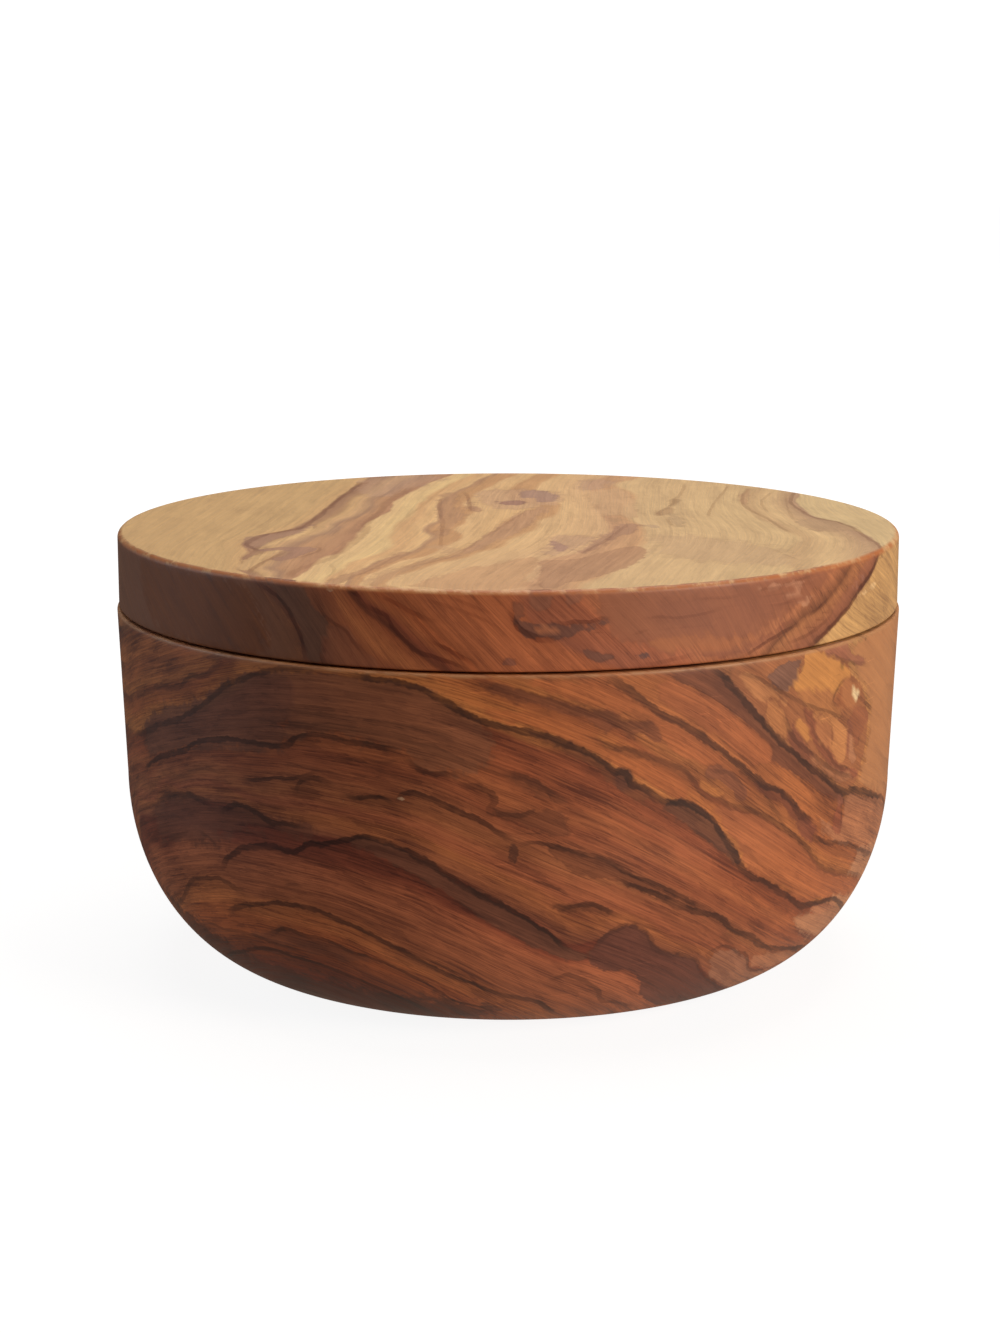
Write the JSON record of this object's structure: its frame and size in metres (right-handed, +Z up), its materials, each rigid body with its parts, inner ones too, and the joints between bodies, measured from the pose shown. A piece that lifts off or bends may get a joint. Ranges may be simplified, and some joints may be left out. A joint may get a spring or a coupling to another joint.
{
  "type": "salt box",
  "caption": "Round salt box turned from olive wood: a deep hollow bowl with a small flat base and a flush flat lid that swivels on a hidden pin and shuts on magnets.",
  "frame": {"origin": "middle of the flat base, on the surface that the box stands on", "axes": "+Z up along the turning axis, -Y to the front as pictured, +X to the pivot pin"},
  "size_m": [0.1206, 0.1206, 0.067],
  "materials": {
    "bowl_wood": "oiled olive wood, satin",
    "lid_wood": "oiled olive wood, satin",
    "pin_steel": "ground stainless steel",
    "magnet_nickel": "nickel plate"
  },
  "bodies": {
    "bowl": {"bowl": "bowl_wood", "bowl_magnet": "magnet_nickel"},
    "pivot": {"pivot_pin": "pin_steel"},
    "lid": {"lid": "lid_wood", "lid_magnet": "magnet_nickel"}
  },
  "joints": [
    {"name": "lid_swivel", "type": "hinge", "parent": "bowl", "child": "pivot", "pos_m": [0.05465, 0, 0.0555], "axis": [0, 0, 1], "continuous": true},
    {"name": "lid_lift", "type": "slide", "parent": "pivot", "child": "lid", "axis": [0, 0, 1], "range_m": [0, 0.03]}
  ]
}
